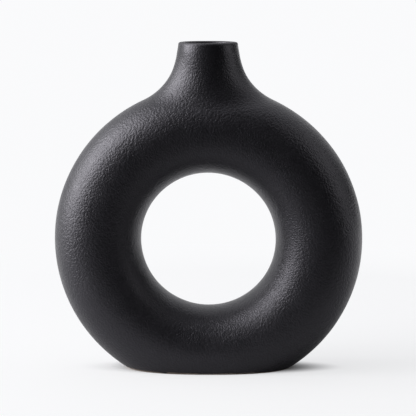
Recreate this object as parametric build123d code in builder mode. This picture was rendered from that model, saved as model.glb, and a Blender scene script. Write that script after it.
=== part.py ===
from build123d import *
import os

# Donut vase: a hollow ring standing on a flat foot, with a short neck swept up out of its crown.
# Origin in the middle of the foot, +Z up. The ring stands in the XZ plane and its hole runs along Y.
# Everything is made as the quarter with x and y above zero, then mirrored twice.

# Outside sizes, in millimetres, measured over the glaze
ring_radius = 81.1  # centre line of the ring
tube_radius = 31.8  # round section of the ring
foot_cut = 17.3  # how much of the ring's bottom the flat foot takes away
neck_rise = 31.5  # lip above the ring's highest line
neck_radius = 21.8
collar_straight = 0.3  # upright stretch outside, between the rounded lip and the shoulder sweep
lip_rounding = 1.5
foot_rounding = 2.5

# Clay and glaze
clay_wall = 4.0
mouth_land = 8.0  # straight round stretch inside the mouth, below the rounded lip
cavity_rounding = 6.0  # inside corner where the wall meets the floor
glaze_coat = 0.5
bare_foot_line = 1.0  # clay left bare above the foot
outer_run_in = 14.0  # depth that the outside glaze reaches down the mouth

overrun = 10.0  # how far a cutting shape stands past what it cuts

ring_outer_radius = ring_radius + tube_radius
ring_centre_height = ring_outer_radius - foot_cut
vase_height = ring_centre_height + ring_outer_radius + neck_rise
outside_sweep_top = vase_height - lip_rounding - collar_straight
inside_sweep_top = vase_height - lip_rounding - mouth_land

ring_axis = Axis((0, 0, ring_centre_height), (0, 1, 0))
crown_height = ring_centre_height + ring_radius
crown_section = Plane(origin=(0, 0, crown_height), x_dir=(0, 1, 0), z_dir=(1, 0, 0))
neck_end = vase_height + 2 * overrun


# Radius of the hollow shoulder arc that leaves the neck upright at sweep_top and lands tangent on the ring
def shoulder_radius(inset, sweep_top):
    ring = ring_outer_radius - inset
    neck = neck_radius - inset
    rise = sweep_top - ring_centre_height
    return (rise**2 + neck**2 - ring**2) / (2 * (ring - neck))


# Quarter of the vase's shape, drawn in by inset all over, cut flat at floor and top
def quarter_outline(inset, sweep_top, floor, top, floor_rounding):
    tube = tube_radius - inset
    neck = neck_radius - inset
    with BuildPart() as outline:
        with BuildSketch(crown_section):
            with BuildLine():
                CenterArc((0, 0), tube, -90, 180)
                Line((0, -tube), (0, tube))
            make_face()
        revolve(axis=ring_axis, revolution_arc=180)
        with BuildSketch(Plane.XY.offset(crown_height)):
            with BuildLine():
                CenterArc((0, 0), neck, 0, 90)
                Polyline((0, neck), (0, 0), (neck, 0))
            make_face()
        extrude(amount=neck_end - crown_height)
        crease = outline.edges().filter_by(GeomType.BSPLINE)
        fillet(crease, shoulder_radius(inset, sweep_top))
        split(bisect_by=Plane.XY.offset(floor), keep=Keep.TOP)
        split(bisect_by=Plane.XY.offset(top), keep=Keep.BOTTOM)
        floor_face = outline.faces().sort_by(Axis.Z)[0]
        fillet(floor_face.edges().filter_by(GeomType.LINE, reverse=True), floor_rounding)
    return outline.part


# Quarter of the hollow wall with its rounded lip: bare clay, or with a coat on both sides of it
def quarter_wall(coat):
    inset = glaze_coat - coat
    outside = quarter_outline(inset, outside_sweep_top, 0, vase_height - inset, foot_rounding)
    cavity = quarter_outline(
        glaze_coat + clay_wall + coat,
        inside_sweep_top,
        clay_wall + coat,
        vase_height + overrun,
        cavity_rounding - coat,
    )
    with BuildPart() as wall:
        add(outside)
        add(cavity, mode=Mode.SUBTRACT)
        lip_face = wall.faces().sort_by(Axis.Z)[-1]
        fillet(lip_face.edges().filter_by(GeomType.CIRCLE), lip_rounding - inset)
    return wall.part


bare_quarter = quarter_wall(0)
glazed_quarter = quarter_wall(glaze_coat)

# Space bounded by the middle of the clay wall, up to the line in the mouth where the two coats meet
mid_wall = clay_wall / 2
coats_meet = vase_height - outer_run_in
liner_space = quarter_outline(glaze_coat + mid_wall, inside_sweep_top, mid_wall, coats_meet, foot_rounding)

# Fired clay, one casting with a bare flat foot
with BuildPart() as clay_body:
    add(bare_quarter)
    mirror(about=Plane.YZ)
    mirror(about=Plane.XZ)

# Matte black coat over the outside, the lip and the first stretch of the mouth
with BuildPart() as outer_glaze:
    add(glazed_quarter)
    add(bare_quarter, mode=Mode.SUBTRACT)
    add(liner_space, mode=Mode.SUBTRACT)
    split(bisect_by=Plane.XY.offset(bare_foot_line), keep=Keep.TOP)
    mirror(about=Plane.YZ)
    mirror(about=Plane.XZ)

# Watertight coat over the rest of the cavity
with BuildPart() as inner_glaze:
    add(glazed_quarter)
    add(bare_quarter, mode=Mode.SUBTRACT)
    add(liner_space, mode=Mode.INTERSECT)
    mirror(about=Plane.YZ)
    mirror(about=Plane.XZ)

os.makedirs("parts", exist_ok=True)

clay_body.part.label = "clay_body"
export_step(clay_body.part, "parts/clay_body.step")

outer_glaze.part.label = "outer_glaze"
export_step(outer_glaze.part, "parts/outer_glaze.step")

inner_glaze.part.label = "inner_glaze"
export_step(inner_glaze.part, "parts/inner_glaze.step")

print(f"vase height {vase_height:.1f} mm")
print(f"shoulder arc {shoulder_radius(0, outside_sweep_top):.1f} mm outside")
print(f"mouth inside diameter {2 * (neck_radius - clay_wall - 2 * glaze_coat):.1f} mm")
print(f"clay volume {clay_body.part.volume / 1000:.0f} ml")
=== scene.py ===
import math

import bmesh
import bpy
import numpy as np
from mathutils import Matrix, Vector


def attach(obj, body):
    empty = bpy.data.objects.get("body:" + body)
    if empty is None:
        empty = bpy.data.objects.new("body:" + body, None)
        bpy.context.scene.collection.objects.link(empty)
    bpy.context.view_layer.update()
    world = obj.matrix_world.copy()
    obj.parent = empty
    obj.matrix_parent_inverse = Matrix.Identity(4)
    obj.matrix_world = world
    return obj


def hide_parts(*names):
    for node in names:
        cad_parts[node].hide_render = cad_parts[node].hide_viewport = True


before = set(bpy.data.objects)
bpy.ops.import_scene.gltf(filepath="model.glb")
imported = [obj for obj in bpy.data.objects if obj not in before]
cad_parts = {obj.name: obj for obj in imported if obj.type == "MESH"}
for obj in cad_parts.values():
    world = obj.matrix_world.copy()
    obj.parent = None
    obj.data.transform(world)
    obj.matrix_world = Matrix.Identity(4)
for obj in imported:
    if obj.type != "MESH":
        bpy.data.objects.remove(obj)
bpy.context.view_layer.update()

print("frame loaded")

# The vase's own sizes, in metres: a ring stood on a flat foot, and a neck swept up out of its crown
vase = {
    "ringRadius": 0.0811,  # centre line of the ring
    "tubeRadius": 0.0318,
    "ringCentre": 0.0956,  # height of the ring's centre
    "neckRadius": 0.0218,
    "height": 0.240,
    "lipRounding": 0.0015,
    "collarStraight": 0.0003,  # upright stretch outside, below the lip
    "mouthLand": 0.008,  # upright stretch inside, below the lip
    "wall": 0.005,  # clay with a coat on both sides
    "coat": 0.0005,
    "footRounding": 0.0025,
    "coatsMeet": 0.226,  # height in the mouth where the two coats meet
    "meetWaves": [(3, 0.0004, 0.4), (7, 0.0002, 2.0)],  # count round the mouth, size, shift
}
outsideSweepTop = vase["height"] - vase["lipRounding"] - vase["collarStraight"]
insideSweepTop = vase["height"] - vase["lipRounding"] - vase["mouthLand"]
quarterTurn = math.pi / 2
sewing = {"reach": 2e-6, "shortest": 1e-6}  # how near points are joined, and the shortest edge kept


# Outward normal of the ring at tube angle v, zero on its outer rim, and ring angle theta, zero at the crown
def ringNormal(v, theta):
    return np.stack([np.cos(v) * np.sin(theta), np.sin(v), np.cos(v) * np.cos(theta)], -1)


# Point of the ring drawn in by inset: the tube's circle carried round the ring's circle
def ringPoint(v, theta, inset):
    tube = vase["tubeRadius"] - inset
    out = vase["ringRadius"] + tube * np.cos(v)
    return np.stack([out * np.sin(theta), tube * np.sin(v), vase["ringCentre"] + out * np.cos(theta)], -1)


# Unit vectors turned from a to b by the share s of the angle between them
def turnedBy(a, b, s):
    angle = np.arccos(np.clip((a * b).sum(-1), -1, 1))[..., None]
    return (np.sin((1 - s) * angle) * a + np.sin(s * angle) * b) / np.sin(angle)


# The shoulder is the track of a ball that rolls in the corner between neck and ring. For azimuths phi round
# the neck this gives the ball's centre and radius, its unit vectors to the ring and to the neck, and the
# ring's angles where it touches. The centre keeps neck radius + ball radius from the neck's axis and tube
# radius + ball radius from the ring's centre line, and the radius leaves the neck upright at sweepTop.
def shoulderBall(phi, inset, sweepTop):
    ringOut = vase["ringRadius"] + vase["tubeRadius"] - inset
    neck = vase["neckRadius"] - inset
    rise = sweepTop - vase["ringCentre"]
    ball = (rise**2 + neck**2 - ringOut**2) / (2 * (ringOut - neck))
    x = (neck + ball) * np.cos(phi)
    y = (neck + ball) * np.sin(phi)
    across = np.sqrt((vase["tubeRadius"] - inset + ball) ** 2 - y**2)
    out = vase["ringRadius"] + across
    centre = np.stack([x, y, vase["ringCentre"] + np.sqrt(out**2 - x**2)], -1)
    theta = np.arcsin(x / out)
    v = np.arctan2(y, across)
    toNeck = np.stack([-np.cos(phi), -np.sin(phi), 0 * phi], -1)
    return centre, ball, -ringNormal(v, theta), toNeck, v, theta


# Long shallow waves of a hand-finished wall: the mean of a few sines over space, from -1 to 1
def handWave(points, waves):
    return np.mean([np.sin(2 * math.pi * (points @ np.array(way)) / length + shift)
                    for way, length, shift in waves], axis=0)


# Height of an edge that wanders: a base, a few waves round the azimuth, and some short runs that hang down
def wanderingEdge(azimuth, base, waves, runs=()):
    height = np.full_like(azimuth, base)
    for count, size, shift in waves:
        height += size * np.sin(count * azimuth + shift)
    for place, width, drop in runs:
        height -= drop * np.exp(-((np.angle(np.exp(1j * (azimuth - place))) / width) ** 2))
    return height


def meetHeight(phi):
    return wanderingEdge(phi, vase["coatsMeet"], vase["meetWaves"])


# Azimuths round the neck of one half, side 1 for x above zero and -1 below, as the half itself counts them
def halfAzimuths(counts):
    return np.linspace(-quarterTurn, quarterTurn, counts["round"] + 1)


def trueAzimuth(phi, side):
    return phi if side > 0 else math.pi - phi


# Half of the ring and its foot, drawn in by inset. Columns follow the tube's circle and rows run from the
# shoulder round to the foot, where the ring ends on the foot's rounding, a roller of radius rounding that
# touches ring and floor. The columns on the ring's outer side meet shoulder and foot, and those round the
# hole run on to the other half. edge gives the height where a coat stops; without it the flat floor closes
# the sheet.
def ringHalf(inset, sweepTop, floor, rounding, edge, side, counts):
    tube = vase["tubeRadius"] - inset
    topV, topTheta = shoulderBall(halfAzimuths(counts), inset, sweepTop)[4:]
    above = vase["ringCentre"] - floor - rounding
    kink = math.acos((above - vase["ringRadius"]) / (tube - rounding))
    lowV = np.arcsin(np.sin(halfAzimuths(counts)) * math.sin(kink))
    front = slice(0, counts["round"] + 1)
    contact = np.arccos(np.clip(above / (vase["ringRadius"] + (tube - rounding) * np.cos(lowV)), -1, 1))
    contact[[0, -1]] = 0
    touching = ringPoint(lowV, math.pi - contact, inset)
    edgeHeight = np.full_like(lowV, floor)
    if edge:
        edgeHeight = edge(np.arctan2(touching[:, 1], side * touching[:, 0]))
    out = vase["ringRadius"] + tube * np.cos(lowV)
    cut = np.arccos(np.clip((vase["ringCentre"] - edgeHeight) / out, -1, 1))
    cut[[0, -1]] = 0
    lowTheta = math.pi - np.maximum(contact, cut)

    back = np.linspace(0, 1, counts["back"] + 1)[1:]
    topV = np.concatenate([topV, topV[-1] + back * 2 * (math.pi - topV[-1])])
    lowV = np.concatenate([lowV, kink + back * 2 * (math.pi - kink)])
    topTheta = np.concatenate([topTheta, 0 * back])
    lowTheta = np.concatenate([lowTheta, 0 * back + math.pi])
    t = np.linspace(0, 1, counts["along"] + 1)[:, None]
    v = topV + (lowV - topV) * t
    theta = topTheta + (lowTheta - topTheta) * t
    ring = ringPoint(v, theta, inset), ringNormal(v, theta)

    toRing = ringNormal(lowV[front], math.pi - contact)
    level = toRing * [1, 1, 0]
    level /= np.linalg.norm(level, axis=-1, keepdims=True)
    start = np.arccos(np.clip(-toRing[:, 2], -1, 1))
    end = np.arccos(np.clip((floor + rounding - edgeHeight) / rounding, -1, 1))
    lean = start + (np.minimum(end, start) - start) * np.linspace(0, 1, counts["rounding"] + 1)[:, None]
    normals = np.sin(lean)[..., None] * level - np.cos(lean)[..., None] * np.array([0, 0, 1])
    points = touching - rounding * toRing + rounding * normals
    onRing = (end >= start)[:, None]
    foot = np.where(onRing, ring[0][-1, front], points), np.where(onRing, ring[1][-1, front], normals)
    if edge:
        return [ring, foot]
    inward = 1 - np.linspace(0, 1, counts["floor"] + 1)[:, None, None] * [1, 0, 0]
    flat = foot[0][-1] * inward
    return [ring, foot, (flat, np.broadcast_to([0.0, 0.0, -1.0], flat.shape))]


# Share of the shoulder's turn, from the ring to the neck, at which it reaches a height
def shareAt(height, inset, sweepTop, counts):
    centre, ball, toRing, toNeck = shoulderBall(halfAzimuths(counts), inset, sweepTop)[:4]
    angle = np.arccos((toRing * toNeck).sum(-1))
    sine = (height - centre[:, 2]) * np.sin(angle) / (ball * toRing[:, 2])
    return 1 - np.arcsin(np.clip(sine, 0, 1)) / angle


# Half of a shoulder sweep between two shares of its turn from the ring to the neck
def sweepShares(inset, sweepTop, start, end, steps, counts):
    centre, ball, toRing, toNeck = shoulderBall(halfAzimuths(counts), inset, sweepTop)[:4]
    share = start + (end - start) * np.linspace(0, 1, steps + 1)[:, None]
    ray = turnedBy(toRing, toNeck, (share + 0 * toRing[:, 0])[..., None])
    return centre + ball * ray, -ray


# Upright neck wall of one half, from the rows of heights given, outside or inside
def neckWall(inset, heights, inside, counts):
    phi = np.broadcast_to(halfAzimuths(counts), heights.shape)
    level = np.stack([np.cos(phi), np.sin(phi), 0 * phi], -1)
    points = (vase["neckRadius"] - inset) * level
    points[..., 2] = heights
    return points, -level if inside else level


# Lip of one half: a quarter round outside, a flat, and a quarter round inside
def lipHalf(inset, counts):
    rounding = vase["lipRounding"] - inset
    outer = vase["neckRadius"] - inset - rounding
    inner = vase["neckRadius"] - vase["wall"] + inset + rounding
    turn = np.linspace(0, quarterTurn, counts["lip"] + 1)
    turn = np.concatenate([turn, turn + quarterTurn])
    middle = np.repeat([outer, inner], counts["lip"] + 1)
    radius = (middle + rounding * np.cos(turn))[:, None]
    height = vase["height"] - inset - rounding + rounding * np.sin(turn)[:, None]
    phi = halfAzimuths(counts)[None]
    points = np.stack([radius * np.cos(phi), radius * np.sin(phi), height + 0 * phi], -1)
    c = np.cos(turn)[:, None]
    return points, np.stack([c * np.cos(phi), c * np.sin(phi), np.sin(turn)[:, None] + 0 * phi], -1)


def between(low, high, count):
    return low + (high - low) * np.linspace(0, 1, count + 1)[:, None]


# Grids of one side from those worked out for x above zero, each with its winding
def onSide(grids, side):
    mirror = [side, 1, 1]
    return [((points * mirror, normals * mirror), up != (side < 0)) for (points, normals), up in grids]


# A half strip that closes the gap between the rims of two sheets, bulging down
def rimStrip(outer, inner, bulge, count):
    w = np.linspace(0, math.pi, count + 1)[:, None, None]
    return (outer + inner) / 2 + (outer - inner) / 2 * np.cos(w) - np.array([0, 0, 1]) * bulge * np.sin(w)


# Faces of a grid, wound so that they face outwards when rows run down and columns run round
def gridFaces(rows, columns, first, flipped):
    index = first + np.arange(rows * columns).reshape(rows, columns)
    quads = np.stack([index[:-1, :-1], index[1:, :-1], index[1:, 1:], index[:-1, 1:]], -1).reshape(-1, 4)
    return quads[:, ::-1] if flipped else quads


# One mesh object from grids of points, sewn together where they meet
def sewnMesh(name, grids, sharpAngle):
    points, faces, first = [], [], 0
    for grid, flipped in grids:
        rows, columns = grid.shape[:2]
        points.append(grid.reshape(-1, 3))
        faces.append(gridFaces(rows, columns, first, flipped))
        first += rows * columns
    points, faces = np.concatenate(points), np.concatenate(faces)
    mesh = bpy.data.meshes.new(name)
    mesh.from_pydata(points.tolist(), [], faces.tolist())
    work = bmesh.new()
    work.from_mesh(mesh)
    bmesh.ops.remove_doubles(work, verts=work.verts, dist=sewing["reach"])
    bmesh.ops.dissolve_degenerate(work, edges=work.edges, dist=sewing["shortest"])
    openEdges = sum(1 for edge in work.edges if not edge.is_manifold)
    volume = work.calc_volume(signed=True)
    work.to_mesh(mesh)
    work.free()
    mesh.shade_smooth()
    mesh.set_sharp_from_angle(angle=sharpAngle)
    piece = bpy.data.objects.new(name, mesh)
    bpy.context.scene.collection.objects.link(piece)
    print(name, len(mesh.polygons), "faces,", openEdges, "open edges,", round(volume * 1e6, 1), "ml")
    return piece


print("formulas ready")

# The outside coat, a closed shell between a sheet on the clay and one on the open side, down to the mouth
glaze = {
    "baseLine": 0.0018,  # height where the coat stops above the foot
    "edgeWaves": [(2, 0.00012, 1.1), (5, 0.00010, 0.3), (11, 0.00007, 2.2), (23, 0.00005, 4.0)],
    # azimuth, width in radians and drop of each run
    "runs": [(-2.45, 0.045, 0.0012), (-0.62, 0.05, 0.0003), (1.9, 0.04, 0.0005), (0.9, 0.06, 0.0003)],
    "unevenness": 0.00009,  # half of the greatest loss of thickness; a wave is a direction, length and shift
    "waves": [((1, 0.2, 0.3), 0.047, 0.2), ((-0.3, 0.9, 0.4), 0.038, 1.7), ((0.2, -0.4, 0.9), 0.055, 3.1),
              ((0.7, 0.5, -0.5), 0.029, 4.4), ((-0.6, 0.3, 0.7), 0.033, 5.2)],
    "bead": 0.00022,  # how far the rounded edge bulges down
    "swell": 0.00045,  # how much thicker it is below the lip
    "swellRise": (0.214, 0.228),  # heights between which it swells
    "draw": 0.0007,  # how far it is drawn in again towards the lip
    "drawRise": (0.232, 0.2405),
    "sharp": math.radians(50),
    "counts": {"round": 48, "back": 56, "along": 150, "rounding": 4, "sweep": 28, "wall": 8, "lip": 5,
               "land": 6, "insideSweep": 4, "rim": 4},
}


def glazeEdge(azimuth):
    return wanderingEdge(azimuth, glaze["baseLine"], glaze["edgeWaves"], glaze["runs"])


# How far the coat's outside lies off its even thickness, never outwards
def uneven(points):
    return glaze["unevenness"] * (handWave(points, glaze["waves"]) - 1)[..., None]


# Rises smoothly from 0 at low to 1 at high
def smoothStep(value, low, high):
    share = np.clip((value - low) / (high - low), 0, 1)
    return share * share * (3 - 2 * share)


# The glaze is thickest below the lip and thin on its outer edge, so the neck narrows a little to the lip.
# This moves points out from the neck's axis or in to it by their height, and leaves the mouth's inside alone.
def flared(points):
    off = np.maximum(np.linalg.norm(points[..., :2], axis=-1, keepdims=True), sewing["shortest"])
    height = points[..., 2:]
    outer = vase["neckRadius"] - vase["lipRounding"]
    inner = vase["neckRadius"] - vase["wall"] + vase["lipRounding"]
    shift = glaze["swell"] * smoothStep(height, *glaze["swellRise"])
    shift -= glaze["draw"] * smoothStep(height, *glaze["drawRise"])
    shift *= np.clip((off - inner) / (outer - inner), 0, 1)
    return points * (1 + shift / off * [1, 1, 0])


# One half of a side of the outside coat, as grids of points and normals with their winding
def outerSheet(inset, side):
    counts = glaze["counts"]
    stop = meetHeight(trueAzimuth(halfAzimuths(counts), side))
    ring, foot = ringHalf(inset, outsideSweepTop, 0, vase["footRounding"], glazeEdge, side, counts)
    shoulder = sweepShares(inset, outsideSweepTop, 0, 1, counts["sweep"], counts)
    lip = lipHalf(inset, counts)
    wall = neckWall(inset, between(shoulder[0][-1, :, 2], lip[0][0, :, 2], counts["wall"]), False, counts)
    inside = vase["wall"] - inset
    centre = shoulderBall(halfAzimuths(counts), inside, insideSweepTop)[0]
    landHeights = between(lip[0][-1, :, 2], np.maximum(centre[:, 2], stop), counts["land"])
    land = neckWall(inside, landHeights, True, counts)
    share = shareAt(stop, inside, insideSweepTop, counts)
    arc, outward = sweepShares(inside, insideSweepTop, 1, share, counts["insideSweep"], counts)
    throat = arc, -outward
    higher = (stop > centre[:, 2])[:, None]
    throat = tuple(np.where(higher, above[-1], below) for above, below in zip(land, throat))
    upward = [(grid, True) for grid in (shoulder, wall, lip, land, throat)]
    return onSide([(ring, False), (foot, False)] + upward, side)


# The coat ends on a bead above the foot, and squarely against the liner in the mouth
footGrid, throatGrid = 1, 6
coatRims = ((footGrid, glaze["bead"]), (throatGrid, 0))
outerGrids = []
for side in (1, -1):
    outside = [((flared(points + normals * uneven(points)), normals), flip)
               for (points, normals), flip in outerSheet(0, side)]
    inside = outerSheet(vase["coat"], side)
    outerGrids += [(points, flip) for (points, normals), flip in outside]
    outerGrids += [(points, not flip) for (points, normals), flip in inside]
    for grid, bulge in coatRims:
        rims = [sheet[grid][0][0][-1] for sheet in (outside, inside)]
        outerGrids.append((rimStrip(*rims, bulge, glaze["counts"]["rim"]), outside[grid][1]))
outerCoat = sewnMesh("outerCoat", outerGrids, glaze["sharp"])
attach(outerCoat, "root")
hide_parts("outer_glaze")
print("outside coat built")

liner = {
    "floor": 0.004,  # clay floor inside
    "rounding": 0.006,  # clay corner between wall and floor
    "sharp": math.radians(50),
    "counts": {"round": 28, "back": 36, "along": 84, "rounding": 5, "floor": 12, "sweep": 20, "wall": 8,
               "rim": 2},
}


# One half of a side of the liner: the ring's inside with its floor, and the sweep up to where the coats meet
def linerSheet(coats, side):
    counts = liner["counts"]
    inset = vase["wall"] - vase["coat"] + coats
    stop = meetHeight(trueAzimuth(halfAzimuths(counts), side))
    ring, foot, floor = ringHalf(inset, insideSweepTop, liner["floor"] + coats, liner["rounding"] - coats,
                                 None, side, counts)
    centre = shoulderBall(halfAzimuths(counts), inset, insideSweepTop)[0]
    share = shareAt(stop, inset, insideSweepTop, counts)
    sweep = sweepShares(inset, insideSweepTop, 0, share, counts["sweep"], counts)
    throat = neckWall(inset, between(sweep[0][-1, :, 2], stop, counts["wall"]), False, counts)
    lower = (stop <= centre[:, 2])[:, None]
    throat = tuple(np.where(lower, arc[-1], straight) for straight, arc in zip(throat, sweep))
    return onSide([(ring, False), (foot, False), (floor, False), (sweep, True), (throat, True)], side)


linerTop = 4
linerGrids = []
for side in (1, -1):
    claySide, waterSide = linerSheet(0, side), linerSheet(vase["coat"], side)
    linerGrids += [(points, flip) for (points, normals), flip in claySide]
    linerGrids += [(points, not flip) for (points, normals), flip in waterSide]
    rims = [sheet[linerTop][0][0][-1] for sheet in (claySide, waterSide)]
    linerGrids.append((rimStrip(*rims, 0, liner["counts"]["rim"]), claySide[linerTop][1]))
linerCoat = sewnMesh("linerCoat", linerGrids, liner["sharp"])
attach(linerCoat, "root")
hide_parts("inner_glaze")
print("liner built")


# Puts a node into a tree; inputs go by name or number, and a socket given as a value is linked
def addNode(tree, kind, inputs=None, **settings):
    node = tree.nodes.new(kind)
    for key, value in settings.items():
        setattr(node, key, value)
    for key, value in (inputs or {}).items():
        if isinstance(value, bpy.types.NodeSocket):
            tree.links.new(value, node.inputs[key])
        else:
            node.inputs[key].default_value = value
    return node


def maths(tree, operation, first, second=0.0, third=0.0, clamp=False):
    inputs = {0: first, 1: second, 2: third}
    return addNode(tree, "ShaderNodeMath", inputs, operation=operation, use_clamp=clamp).outputs[0]


def vectorMaths(tree, operation, first, second=(0.0, 0.0, 0.0), out="Vector"):
    return addNode(tree, "ShaderNodeVectorMath", {0: first, 1: second}, operation=operation).outputs[out]


def scaledBy(tree, vector, factor):
    return addNode(tree, "ShaderNodeVectorMath", {0: vector, "Scale": factor}, operation="SCALE").outputs[0]


def lengthOf(tree, vector):
    return vectorMaths(tree, "LENGTH", vector, out="Value")


def coordinate(tree, kind="Object"):
    return addNode(tree, "ShaderNodeTexCoord").outputs[kind]


def separated(tree, vector):
    return addNode(tree, "ShaderNodeSeparateXYZ", {0: vector}).outputs


def ranged(tree, value, fromLow, fromHigh, toLow=0.0, toHigh=1.0, smooth=True):
    return addNode(tree, "ShaderNodeMapRange", {"Value": value, "From Min": fromLow, "From Max": fromHigh,
                                                "To Min": toLow, "To Max": toHigh},
                   interpolation_type="SMOOTHSTEP" if smooth else "LINEAR").outputs[0]


# Noise over a vector, and over a fourth value where one is given
def noise(tree, vector, scale, detail, roughness, fourth=None):
    inputs = {"Vector": vector, "Scale": scale, "Detail": detail, "Roughness": roughness}
    if fourth is None:
        return addNode(tree, "ShaderNodeTexNoise", inputs).outputs[0]
    return addNode(tree, "ShaderNodeTexNoise", inputs | {"W": fourth}, noise_dimensions="4D").outputs[0]


# The same from one entry of a settings dictionary: size in metres, detail and roughness
def grainOf(tree, vector, setting):
    size, detail, roughness = setting
    return noise(tree, vector, 1 / size, detail, roughness)


def mixed(tree, factor, a, b, blend="MIX"):
    node = addNode(tree, "ShaderNodeMix", {0: factor}, data_type="RGBA", blend_type=blend)
    for socket, value in ((6, a), (7, b)):
        if isinstance(value, bpy.types.NodeSocket):
            tree.links.new(value, node.inputs[socket])
        else:
            node.inputs[socket].default_value = (*value, 1)
    return node.outputs[2]


def mixedValue(tree, factor, a, b):
    return addNode(tree, "ShaderNodeMix", {0: factor, 2: a, 3: b}, data_type="FLOAT").outputs[0]


# Normal from a height, by a strength and a depth in metres
def bumped(tree, height, strength, depth):
    inputs = {"Strength": strength, "Distance": depth, "Height": height}
    return addNode(tree, "ShaderNodeBump", inputs).outputs[0]


def newGroup(name, inputs, outputs):
    group = bpy.data.node_groups.new(name, "ShaderNodeTree")
    for label, value in inputs.items():
        socket = group.interface.new_socket(name=label, in_out="INPUT", socket_type="NodeSocketFloat")
        socket.default_value = value
    for label in outputs:
        group.interface.new_socket(name=label, in_out="OUTPUT", socket_type="NodeSocketFloat")
    return group, addNode(group, "NodeGroupInput"), addNode(group, "NodeGroupOutput")


# The pebbled skin of the glaze. On the ring its grain lies across the tube: the noise is read at the point's
# place along the ring's circle in full, and at its place across the tube shortened by the stretch. Up the
# neck the same is done with the neck's circle and the height.
pebbles = {
    "sockets": {"Pitch": 0.00115, "Stretch": 1.15, "Fine Pitch": 0.0005, "Fine Share": 0.15},
    "detail": (1.5, 0.45),  # detail and roughness of the noise
    "clip": (0.32, 0.68),  # values of the noise that become valley and top
    "fineDetail": (2.0, 0.6),
    "mottle": (0.013, 4.0, 0.6),
    "ringToNeck": (0.190, 0.222),  # heights between which one grain takes over from the other
    "lipCalm": (0.212, 0.238, 0.40),  # heights between which the relief falls, and its share at the lip
}


def pebbledSkin():
    group, given, result = newGroup("pebbledSkin", pebbles["sockets"], ["Height", "Mottle"])
    place = coordinate(group)
    up = separated(group, place)["Z"]
    frequency = maths(group, "DIVIDE", 1.0, given.outputs["Pitch"])
    squeeze = maths(group, "DIVIDE", 1.0, given.outputs["Stretch"])

    fromCentre = vectorMaths(group, "SUBTRACT", place, (0, 0, vase["ringCentre"]))
    flat = vectorMaths(group, "MULTIPLY", fromCentre, (1, 0, 1))
    out = lengthOf(group, flat)
    alongRing = scaledBy(group, flat, maths(group, "DIVIDE", vase["ringRadius"], out))
    acrossTube = scaledBy(group, vectorMaths(group, "MULTIPLY", place, (0, 1, 0)), squeeze)
    ringDepth = maths(group, "MULTIPLY", maths(group, "SUBTRACT", out, vase["ringRadius"]), squeeze)
    ringPlace = vectorMaths(group, "ADD", alongRing, acrossTube)
    onRing = noise(group, ringPlace, frequency, *pebbles["detail"], ringDepth)

    level = vectorMaths(group, "MULTIPLY", place, (1, 1, 0))
    off = lengthOf(group, level)
    roundNeck = scaledBy(group, level, maths(group, "DIVIDE", vase["neckRadius"], off))
    upNeck = scaledBy(group, vectorMaths(group, "MULTIPLY", place, (0, 0, 1)), squeeze)
    neckDepth = maths(group, "MULTIPLY", off, squeeze)
    neckPlace = vectorMaths(group, "ADD", roundNeck, upNeck)
    onNeck = noise(group, neckPlace, frequency, *pebbles["detail"], neckDepth)

    pebble = mixedValue(group, ranged(group, up, *pebbles["ringToNeck"]), onRing, onNeck)
    pebble = ranged(group, pebble, *pebbles["clip"])
    fineFrequency = maths(group, "DIVIDE", 1.0, given.outputs["Fine Pitch"])
    grain = noise(group, place, fineFrequency, *pebbles["fineDetail"])
    low, high, least = pebbles["lipCalm"]
    calm = ranged(group, up, low, high, 1.0, least)
    skin = maths(group, "MULTIPLY", mixedValue(group, given.outputs["Fine Share"], pebble, grain), calm)
    group.links.new(skin, result.inputs["Height"])
    group.links.new(grainOf(group, place, pebbles["mottle"]), result.inputs["Mottle"])
    return group


def newMaterial(name):
    material = bpy.data.materials.new(name)
    material.use_nodes = True
    tree = material.node_tree
    tree.nodes.clear()
    shader = addNode(tree, "ShaderNodeBsdfPrincipled")
    tree.links.new(shader.outputs[0], addNode(tree, "ShaderNodeOutputMaterial").inputs["Surface"])
    return material, tree, shader


def linkAll(tree, shader, **sockets):
    for name, socket in sockets.items():
        tree.links.new(socket, shader.inputs[name.replace("_", " ")])


def giveMaterial(piece, material):
    piece.data.materials.clear()
    piece.data.materials.append(material)


skinGroup = pebbledSkin()

blackGlaze = {
    # deep and raised: the glaze's random mottle, and painted shade, darker in the pebbles' valleys and
    # lighter on their tops
    "deep": (0.0152, 0.0146, 0.0173),
    "raised": (0.0280, 0.0271, 0.0320),
    "mottleAndPitShadeShares": (0.4, 0.6),  # of the random mottle and of the relief in the colour; the relief's share is painted shade that darkens the pebbles' valleys
    "mottleEnds": (0.3, 0.7),
    "roughness": (0.32, 0.40),
    "neckShine": (0.215, 0.232, 0.85),  # heights between which the roughness falls, and its share on the neck
    "lipMatte": (0.2378, 0.2394, 1.8),  # the same where it rises again, on the lip's thin glaze
    "bump": (1.0, 0.00017),  # strength and depth
    "ior": 1.58,
    "tint": (1.0, 0.97, 1.07),
}


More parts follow.
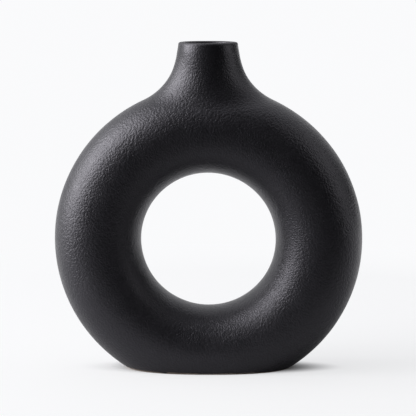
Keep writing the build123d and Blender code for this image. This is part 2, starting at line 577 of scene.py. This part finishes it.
def makeBlackGlaze():
    material, tree, shader = newMaterial("blackGlaze")
    skin = addNode(tree, "ShaderNodeGroup", node_tree=skinGroup)
    for name, value in pebbles["sockets"].items():
        skin.inputs[name].default_value = value
    height, mottle = skin.outputs["Height"], skin.outputs["Mottle"]
    mottleShare, pitShadeShare = blackGlaze["mottleAndPitShadeShares"]
    # Painted shade: the relief's share makes the colour darker in the pebbles' valleys and lighter on their
    # tops
    raised = maths(tree, "MULTIPLY", height, pitShadeShare)
    mottleAndPitShade = maths(tree, "MULTIPLY_ADD", mottle, mottleShare, raised, clamp=True)
    color = mixed(tree, mottleAndPitShade, blackGlaze["deep"], blackGlaze["raised"])
    rough = ranged(tree, mottle, *blackGlaze["mottleEnds"], *blackGlaze["roughness"], smooth=False)
    up = separated(tree, coordinate(tree))["Z"]
    for low, high, share in (blackGlaze["neckShine"], blackGlaze["lipMatte"]):
        rough = maths(tree, "MULTIPLY", rough, ranged(tree, up, low, high, 1.0, share))
    shader.inputs["IOR"].default_value = blackGlaze["ior"]
    shader.inputs["Specular Tint"].default_value = (*blackGlaze["tint"], 1)
    linkAll(tree, shader, Base_Color=color, Roughness=rough, Normal=bumped(tree, height, *blackGlaze["bump"]))
    return material


linerGlaze = {
    "deep": (0.010, 0.0098, 0.0105),
    "pale": (0.020, 0.0195, 0.0205),
    "pools": (0.009, 3.0, 0.5),  # size, detail and roughness of the noise
    "poolEnds": (0.35, 0.65),
    "ripple": (0.0035, 2.0, 0.5),
    "roughness": (0.26, 0.36),
    "roughEnds": (0.3, 0.7),
    "bump": (0.5, 0.0001),
}


def makeLinerGlaze():
    material, tree, shader = newMaterial("linerGlaze")
    place = coordinate(tree)
    pools = grainOf(tree, place, linerGlaze["pools"])
    ripple = grainOf(tree, place, linerGlaze["ripple"])
    color = mixed(tree, ranged(tree, pools, *linerGlaze["poolEnds"]), linerGlaze["deep"], linerGlaze["pale"])
    rough = ranged(tree, pools, *linerGlaze["roughEnds"], *linerGlaze["roughness"], smooth=False)
    linkAll(tree, shader, Base_Color=color, Roughness=rough, Normal=bumped(tree, ripple, *linerGlaze["bump"]))
    return material


bareClay = {
    "dark": (0.30, 0.235, 0.195),
    "light": (0.56, 0.46, 0.39),
    "speck": (0.09, 0.065, 0.05),
    "worn": (0.64, 0.54, 0.46),
    "sand": (0.0005, 3.0, 0.65),  # size, detail and roughness of the noise
    "cloud": (0.012, 4.0, 0.6),
    "wiped": (0.0016, 2.0, 0.5),
    "wipe": (0.12, 1, 1),  # how the wiped streaks are drawn out along the foot
    "cells": 0.0022,
    "cloudEnds": (0.3, 0.7),
    "wornShare": (0.45, 0.7, 0.0, 0.35),  # from two noise values to two shares
    "speckShare": (0.10, 0.17, 0.8, 0.0),
    "sandShare": (0.35, 0.65, 0.0, 0.3),
    "wipedHeight": 0.35,
    "roughness": (0.78, 0.95),
    "bump": (0.8, 0.00018),
}


def makeBareClay():
    material, tree, shader = newMaterial("bareClay")
    place = coordinate(tree)
    sand = grainOf(tree, place, bareClay["sand"])
    cloud = grainOf(tree, place, bareClay["cloud"])
    wiped = grainOf(tree, vectorMaths(tree, "MULTIPLY", place, bareClay["wipe"]), bareClay["wiped"])
    cells = addNode(tree, "ShaderNodeTexVoronoi", {"Vector": place, "Scale": 1 / bareClay["cells"]})
    body = mixed(tree, ranged(tree, cloud, *bareClay["cloudEnds"]), bareClay["dark"], bareClay["light"])
    body = mixed(tree, ranged(tree, wiped, *bareClay["wornShare"]), body, bareClay["worn"])
    speckled = ranged(tree, cells.outputs["Distance"], *bareClay["speckShare"])
    body = mixed(tree, speckled, body, bareClay["speck"])
    body = mixed(tree, ranged(tree, sand, *bareClay["sandShare"]), body, bareClay["dark"], "MULTIPLY")
    height = maths(tree, "MULTIPLY_ADD", wiped, bareClay["wipedHeight"], sand)
    rough = ranged(tree, cloud, *bareClay["cloudEnds"], *bareClay["roughness"], smooth=False)
    linkAll(tree, shader, Base_Color=body, Roughness=rough, Normal=bumped(tree, height, *bareClay["bump"]))
    return material


giveMaterial(outerCoat, makeBlackGlaze())
giveMaterial(linerCoat, makeLinerGlaze())
giveMaterial(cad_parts["clay_body"], makeBareClay())
spareGlaze = makeLinerGlaze()
for hiddenNode in ("outer_glaze", "inner_glaze"):
    giveMaterial(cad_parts[hiddenNode], spareGlaze)
print("materials made")

studio = {
    "backdrop": (0.955, 0.958, 0.970),
    "floorColor": (0.92, 0.92, 0.93),
    "floorRough": 0.9,
    "floorRadius": 4.0,
    "floorSteps": (24, 96),  # outwards and round
    "contactShadowOval": (1 / 0.0575, 1 / 0.0150, 0.0),  # one over the half sizes of the oval under the foot; outside it a painted glow washes out the floor's shadow, so this oval bounds the contact shadow
    "nearGlow": (1.05, 1.8, 0.75),  # ovals between which the floor starts to show the backdrop, how much; this is painted light that lifts the floor's shadow, so the contact shadow ends at these ovals
    "farGlow": (0.08, 0.55),  # distances from the axis between which it turns fully into the backdrop
    "paperEnd": (-0.33, 0.42),  # places, forwards, between which the lit paper ends and darkFloor starts
    "paperTurn": 0.25,  # how far that border turns, so that more paper lies at the left
    "darkFloor": (0.038, 0.038, 0.039),
    "roomColor": (0.97, 0.98, 1.0),
    "roomLight": 0.66,
    "roomLean": 0.8,  # how far the dim light from above leans to the back
    "roomTurn": 0.25,  # and to the left
    "roomEdge": (0.30, 0.98),  # height of a direction, so leaned, between which it goes from dark to dim
    "backdropEdge": (0.60, 1.10),  # how squarely a reflected ray looks back when it sees the backdrop
}


# One for a reflected or refracted ray
def mirroredRay(tree, path):
    return maths(tree, "ADD", path["Is Glossy Ray"], path["Is Transmission Ray"], clamp=True)


# A round seamless floor. To the camera it is pale paper that goes over into the backdrop's own colour a
# little way off the foot, so that it keeps the contact shadow near the foot and has no edge. That glow is
# painted light over the floor's own shade, so the contact shadow takes the shape of an oval round the foot.
# Reflections see lit paper at the back and left, which turns into the backdrop, and a dark floor towards the
# camera.
def makeFloor():
    steps, turns = studio["floorSteps"]
    radius = studio["floorRadius"] * np.linspace(0, 1, steps + 1)[:, None] ** 2
    turn = np.linspace(0, 2 * math.pi, turns + 1)[None]
    grid = np.stack([radius * np.cos(turn), radius * np.sin(turn), 0 * radius * turn], -1)
    floor = sewnMesh("floor", [(grid, False)], quarterTurn)
    material, tree, shader = newMaterial("floor")
    shader.inputs["Roughness"].default_value = studio["floorRough"]
    shader.inputs["Specular IOR Level"].default_value = 0.0
    place = coordinate(tree)
    path = addNode(tree, "ShaderNodeLightPath").outputs

    spot = separated(tree, place)
    towardsCamera = maths(tree, "MULTIPLY", spot["Y"], -1.0)
    forward = maths(tree, "MULTIPLY_ADD", spot["X"], studio["paperTurn"], towardsCamera)
    paper = ranged(tree, forward, *studio["paperEnd"], 1.0, 0.0)
    white = maths(tree, "MAXIMUM", path["Is Camera Ray"], paper)
    linkAll(tree, shader, Base_Color=mixed(tree, white, studio["darkFloor"], studio["floorColor"]))

    # Painted light: outside the oval the floor glows in the backdrop's colour over its own shade, so the
    # contact shadow's reach is set by the oval
    oval = lengthOf(tree, vectorMaths(tree, "MULTIPLY", place, studio["contactShadowOval"]))
    low, high, most = studio["nearGlow"]
    far = ranged(tree, lengthOf(tree, place), *studio["farGlow"])
    glow = maths(tree, "MAXIMUM", ranged(tree, oval, low, high, 0.0, most), far)
    mirrored = maths(tree, "MULTIPLY", mirroredRay(tree, path), maths(tree, "MULTIPLY", paper, far))
    seen = maths(tree, "MULTIPLY_ADD", path["Is Camera Ray"], glow, mirrored, clamp=True)
    plain = addNode(tree, "ShaderNodeEmission", {"Color": (*studio["backdrop"], 1), "Strength": 1.0})
    blend = addNode(tree, "ShaderNodeMixShader", {0: seen, 1: shader.outputs[0], 2: plain.outputs[0]})
    tree.links.new(blend.outputs[0], tree.nodes["Material Output"].inputs["Surface"])
    giveMaterial(floor, material)


# The room round the vase. The camera sees the white backdrop on every side, and reflections see it behind the
# vase. Everything else is lit by a dim room, brightest above, behind and at the left, and dark in front.
def makeWorld():
    world = bpy.data.worlds.new("studio")
    bpy.context.scene.world = world
    world.use_nodes = True
    tree = world.node_tree
    tree.nodes.clear()
    way = separated(tree, coordinate(tree, "Generated"))
    upAndBack = maths(tree, "MULTIPLY_ADD", way["Y"], studio["roomLean"], way["Z"])
    leaned = maths(tree, "MULTIPLY_ADD", way["X"], -studio["roomTurn"], upAndBack)
    room = ranged(tree, leaned, *studio["roomEdge"], 0.0, studio["roomLight"])
    white = addNode(tree, "ShaderNodeBackground", {"Color": (*studio["backdrop"], 1), "Strength": 1.0})
    dim = addNode(tree, "ShaderNodeBackground", {"Color": (*studio["roomColor"], 1), "Strength": room})
    path = addNode(tree, "ShaderNodeLightPath").outputs
    behind = ranged(tree, way["Y"], *studio["backdropEdge"])
    seen = maths(tree, "MULTIPLY_ADD", mirroredRay(tree, path), behind, path["Is Camera Ray"], clamp=True)
    blend = addNode(tree, "ShaderNodeMixShader", {0: seen, 1: dim.outputs[0], 2: white.outputs[0]})
    tree.links.new(blend.outputs[0], addNode(tree, "ShaderNodeOutputWorld").inputs["Surface"])


# Soft area lights that face the middle of the vase. Those at the left lie one inside the other and add up.
lightAim = (0, 0, 0.12)
softLights = {
    "leftWall": {"place": (-2.103, -0.258, 1.247), "size": (4.0, 2.55), "radiance": 1.1},
    "leftSoftbox": {"place": (-2.042, -0.566, 1.247), "size": (1.67, 2.55), "radiance": 2.65},
    "softboxCore": {"place": (-2.191, -0.077, 1.096), "size": (1.29, 1.75), "radiance": 3.2},
    "rightCard": {"place": (2.140, -0.200, 0.960), "size": (1.48, 1.90), "radiance": 0.76},
}


def makeLights():
    for name, soft in softLights.items():
        lamp = bpy.data.lights.new(name, "AREA")
        lamp.shape = "RECTANGLE"
        lamp.size, lamp.size_y = soft["size"]
        lamp.energy = soft["radiance"] * math.pi * lamp.size * lamp.size_y
        light = bpy.data.objects.new(name, lamp)
        light.location = soft["place"]
        facing = Vector(lightAim) - Vector(soft["place"])
        light.rotation_euler = facing.to_track_quat("-Z", "Y").to_euler()
        light.visible_camera = False
        bpy.context.scene.collection.objects.link(light)


# Where the photograph was taken from: the camera looks down at a point on the vase's axis
view = {
    "distance": 1.230,  # from that point, in metres; lens and sensor are in millimetres
    "lookDown": math.radians(8.111),
    "turn": math.radians(1.100),  # to the right of straight in front
    "roll": math.radians(0.085),
    "aimHeight": 0.1188,
    "lens": 145.25,
    "sensor": 36.0,
}


def makeCamera():
    camera = bpy.data.objects.new("camera", bpy.data.cameras.new("camera"))
    camera.data.lens = view["lens"]
    camera.data.sensor_width = view["sensor"]
    level = view["distance"] * math.cos(view["lookDown"])
    camera.location = (level * math.sin(view["turn"]), -level * math.cos(view["turn"]),
                       view["aimHeight"] + view["distance"] * math.sin(view["lookDown"]))
    camera.rotation_euler = (quarterTurn - view["lookDown"], view["roll"], view["turn"])
    bpy.context.scene.collection.objects.link(camera)
    bpy.context.scene.camera = camera


makeFloor()
makeWorld()
makeLights()
makeCamera()
bpy.context.scene.view_settings.view_transform = "Standard"
print("studio set")
